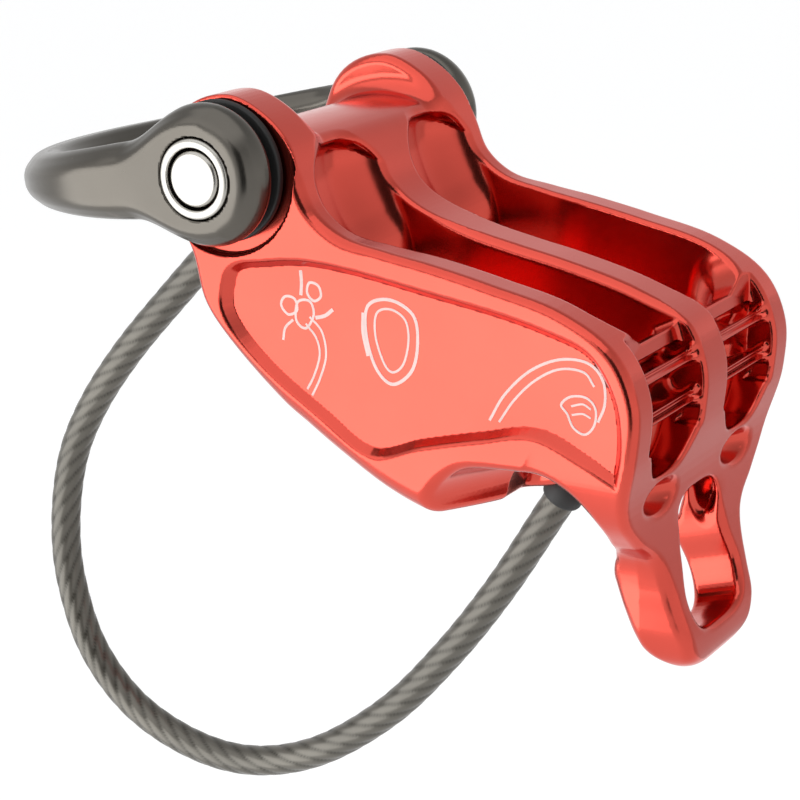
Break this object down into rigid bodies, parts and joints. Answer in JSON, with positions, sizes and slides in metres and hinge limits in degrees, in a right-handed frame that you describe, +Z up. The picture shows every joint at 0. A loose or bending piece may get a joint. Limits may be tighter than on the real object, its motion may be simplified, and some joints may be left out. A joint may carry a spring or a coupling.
{
  "type": "rope descender",
  "caption": "Two-slot belay and rappel device with a pivoting bail on its rear ears, a toothed rope front, a nose eye and a wire keeper loop.",
  "frame": {"origin": "middle of the bail's pivot axis, on the body's plane of symmetry", "axes": "+X towards the toothed front, +Y along the pivot axis, +Z up in the attitude of the picture, with the nose low"},
  "size_m": [0.0919, 0.0488, 0.0892],
  "materials": {
    "red_anodised": "bright red anodised, satin",
    "grey_anodised": "gunmetal anodised, satin",
    "polished_steel": "fine turned, bright",
    "black_plastic": "matte moulded",
    "sheathed_wire": "stranded steel under a clear sheath",
    "crimp_alloy": "pressed, dull"
  },
  "bodies": {
    "frame": {"body": "red_anodised", "near_pivot_rivet": "polished_steel", "far_pivot_rivet": "polished_steel", "near_flanged_bush": "polished_steel", "far_flanged_bush": "polished_steel", "near_thrust_washer": "black_plastic", "far_thrust_washer": "black_plastic", "keeper_cable": "sheathed_wire", "rear_cable_ferrule": "crimp_alloy", "front_cable_ferrule": "crimp_alloy", "rear_cable_collar": "black_plastic", "front_cable_collar": "black_plastic"},
    "bail": {"pivot_bail": "grey_anodised"}
  },
  "joints": [
    {"name": "bail_pivot", "type": "hinge", "parent": "frame", "child": "bail", "pos_m": [0, 0, 0], "axis": [0, 1, 0], "range_deg": [-22, 182]}
  ]
}
